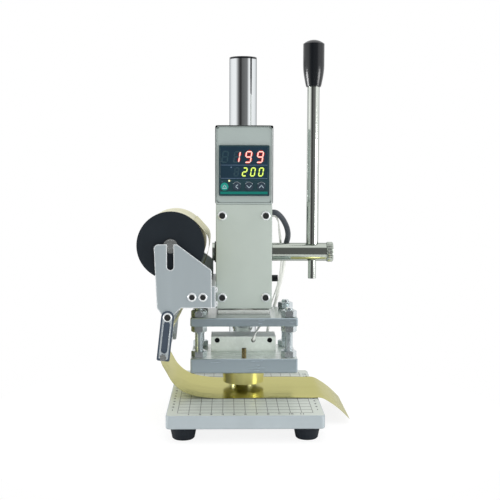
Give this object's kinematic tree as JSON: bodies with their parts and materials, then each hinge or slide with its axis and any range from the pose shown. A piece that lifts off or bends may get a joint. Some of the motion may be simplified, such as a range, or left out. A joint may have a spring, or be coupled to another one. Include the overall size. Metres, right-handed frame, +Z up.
{
  "type": "hot foil stamping machine",
  "caption": "Bench-top hot foil stamping press: head on a chrome strut, rack ram worked by a side handle, heated plate, temperature controller and foil roll with guide roller.",
  "frame": {"origin": "centre of the bench in plan, on the floor under its feet", "axes": "+Z up along the strut, -Y towards the user, +X to the user's right where the handle is"},
  "size_m": [0.1995, 0.18, 0.366],
  "materials": {
    "bench_aluminium": "satin anodised, printed with a grid",
    "rubber": "moulded black",
    "screw_steel": "zinc plated",
    "chrome": "hard chrome, polished",
    "black_plastic": "polished black",
    "head_paint": "light grey green powder coat",
    "bronze": "turned bushing bronze",
    "box_paint": "light grey powder coat",
    "controller_plastic": "moulded dark grey",
    "display_plastic": "smoked lens",
    "key_teal": "teal key",
    "key_dark": "dark key",
    "gland_plastic": "black nylon",
    "dark_steel": "black oxide",
    "bracket_aluminium": "satin anodised",
    "turned_steel": "turned and plated",
    "gold_foil": "metallised gold film",
    "lead_sleeve": "dark grey sleeve",
    "lead_white": "white insulation",
    "core_card": "wound card",
    "disc_plastic": "black moulded",
    "plate_aluminium": "machined and anodised",
    "block_aluminium": "machined",
    "die_brass": "turned brass"
  },
  "bodies": {
    "base": {"bench_plate": "bench_aluminium", "rubber_feet": "rubber", "foot_screws": "screw_steel", "strut": "chrome", "strut_bolt": "screw_steel", "strut_cap": "black_plastic"},
    "head": {"head_block": "head_paint", "front_cover": "head_paint", "cover_screws": "screw_steel", "ram_bushes": "bronze", "shaft_bushes": "bronze", "control_box": "box_paint", "control_box_face": "box_paint", "control_box_back": "box_paint", "box_screws": "screw_steel", "controller_body": "controller_plastic", "display_window": "display_plastic", "cord_gland": "gland_plastic", "lock_nut": "dark_steel", "bracket_bar": "bracket_aluminium", "bracket_lugs": "bracket_aluminium", "bracket_plates": "bracket_aluminium", "bracket_screws": "screw_steel", "roll_shaft": "turned_steel", "shaft_nuts": "turned_steel", "foil_strip": "gold_foil", "return_spring": "turned_steel", "lead_grommet": "rubber", "heater_lead": "lead_sleeve", "sensor_lead": "lead_white"},
    "ram_unit": {"ram": "turned_steel", "ram_bolt": "screw_steel", "upper_plate": "plate_aluminium", "balance_studs": "screw_steel", "stud_nuts": "screw_steel", "hot_plate": "plate_aluminium", "heater_block": "block_aluminium", "heaters": "dark_steel", "brass_die": "die_brass", "die_screw": "die_brass"},
    "nut_front_left": {"balance_nut_front_left": "screw_steel"},
    "nut_front_right": {"balance_nut_front_right": "screw_steel"},
    "nut_rear_left": {"balance_nut_rear_left": "screw_steel"},
    "nut_rear_right": {"balance_nut_rear_right": "screw_steel"},
    "handle": {"cross_shaft": "turned_steel", "shaft_clips": "dark_steel", "handle_rod": "turned_steel", "handle_grip": "black_plastic"},
    "set_screw": {"set_knob": "turned_steel"},
    "lock_screw": {"height_lock_screw": "dark_steel"},
    "roll": {"foil_roll": "gold_foil", "roll_core": "core_card", "roll_discs": "disc_plastic"},
    "arm_pair": {"guide_arms": "bracket_aluminium", "roller_pin": "turned_steel"},
    "roller": {"guide_roller": "turned_steel"},
    "mode_key": {"key_mode": "key_teal"},
    "shift_key": {"key_shift_left": "key_dark"},
    "down_key": {"key_down": "key_dark"},
    "up_key": {"key_up": "key_dark"}
  },
  "joints": [
    {"name": "head_height", "type": "slide", "parent": "base", "child": "head", "axis": [0, 0, 1], "range_m": [0, 0.06]},
    {"name": "ram_slide", "type": "slide", "parent": "head", "child": "ram_unit", "axis": [0, 0, 1], "range_m": [-0.0042, 0], "stiffness_N_per_m": 2000, "springref_m": 0.02, "deforming": ["return_spring", "heater_lead", "sensor_lead"]},
    {"name": "handle_turn", "type": "hinge", "parent": "head", "child": "handle", "pos_m": [0, 0.036, 0.1567], "axis": [1, 0, 0], "range_deg": [0, 30.1]},
    {"name": "set_screw_turn", "type": "hinge", "parent": "handle", "child": "set_screw", "pos_m": [0.0833, 0.036, 0.1567], "axis": [1, 0, 0], "range_deg": [-180, 180]},
    {"name": "lock_screw_turn", "type": "hinge", "parent": "head", "child": "lock_screw", "pos_m": [0.0272, 0.07, 0.126], "axis": [1, 0, 0], "range_deg": [-180, 180]},
    {"name": "roll_spin", "type": "hinge", "parent": "head", "child": "roll", "pos_m": [-0.0682, 0.014, 0.1684], "axis": [0, 1, 0], "continuous": true},
    {"name": "guide_arm_swing", "type": "hinge", "parent": "head", "child": "arm_pair", "pos_m": [-0.0707, 0.014, 0.1032], "axis": [0, 1, 0], "range_deg": [-10, 25], "deforming": ["foil_strip"]},
    {"name": "guide_roller_spin", "type": "hinge", "parent": "arm_pair", "child": "roller", "pos_m": [-0.07487, 0.014, 0.06603], "axis": [0, 1, 0], "continuous": true},
    {"name": "mode_key_press", "type": "slide", "parent": "head", "child": "mode_key", "axis": [0, 1, 0], "range_m": [0, 0.0006], "stiffness_N_per_m": 1000, "springref_m": -0.0005},
    {"name": "shift_key_press", "type": "slide", "parent": "head", "child": "shift_key", "axis": [0, 1, 0], "range_m": [0, 0.0006], "stiffness_N_per_m": 1000, "springref_m": -0.0005},
    {"name": "down_key_press", "type": "slide", "parent": "head", "child": "down_key", "axis": [0, 1, 0], "range_m": [0, 0.0006], "stiffness_N_per_m": 1000, "springref_m": -0.0005},
    {"name": "up_key_press", "type": "slide", "parent": "head", "child": "up_key", "axis": [0, 1, 0], "range_m": [0, 0.0006], "stiffness_N_per_m": 1000, "springref_m": -0.0005},
    {"name": "nut_front_left_turn", "type": "hinge", "parent": "ram_unit", "child": "nut_front_left", "pos_m": [-0.043, -0.01, 0.1], "axis": [0, 0, 1], "range_deg": [-180, 180]},
    {"name": "nut_front_right_turn", "type": "hinge", "parent": "ram_unit", "child": "nut_front_right", "pos_m": [0.043, -0.01, 0.1], "axis": [0, 0, 1], "range_deg": [-180, 180]},
    {"name": "nut_rear_left_turn", "type": "hinge", "parent": "ram_unit", "child": "nut_rear_left", "pos_m": [-0.043, 0.044, 0.1], "axis": [0, 0, 1], "range_deg": [-180, 180]},
    {"name": "nut_rear_right_turn", "type": "hinge", "parent": "ram_unit", "child": "nut_rear_right", "pos_m": [0.043, 0.044, 0.1], "axis": [0, 0, 1], "range_deg": [-180, 180]}
  ],
  "couplings": [
    {"joint": "handle_turn", "follows": "ram_slide", "rad_per_m": -125}
  ]
}
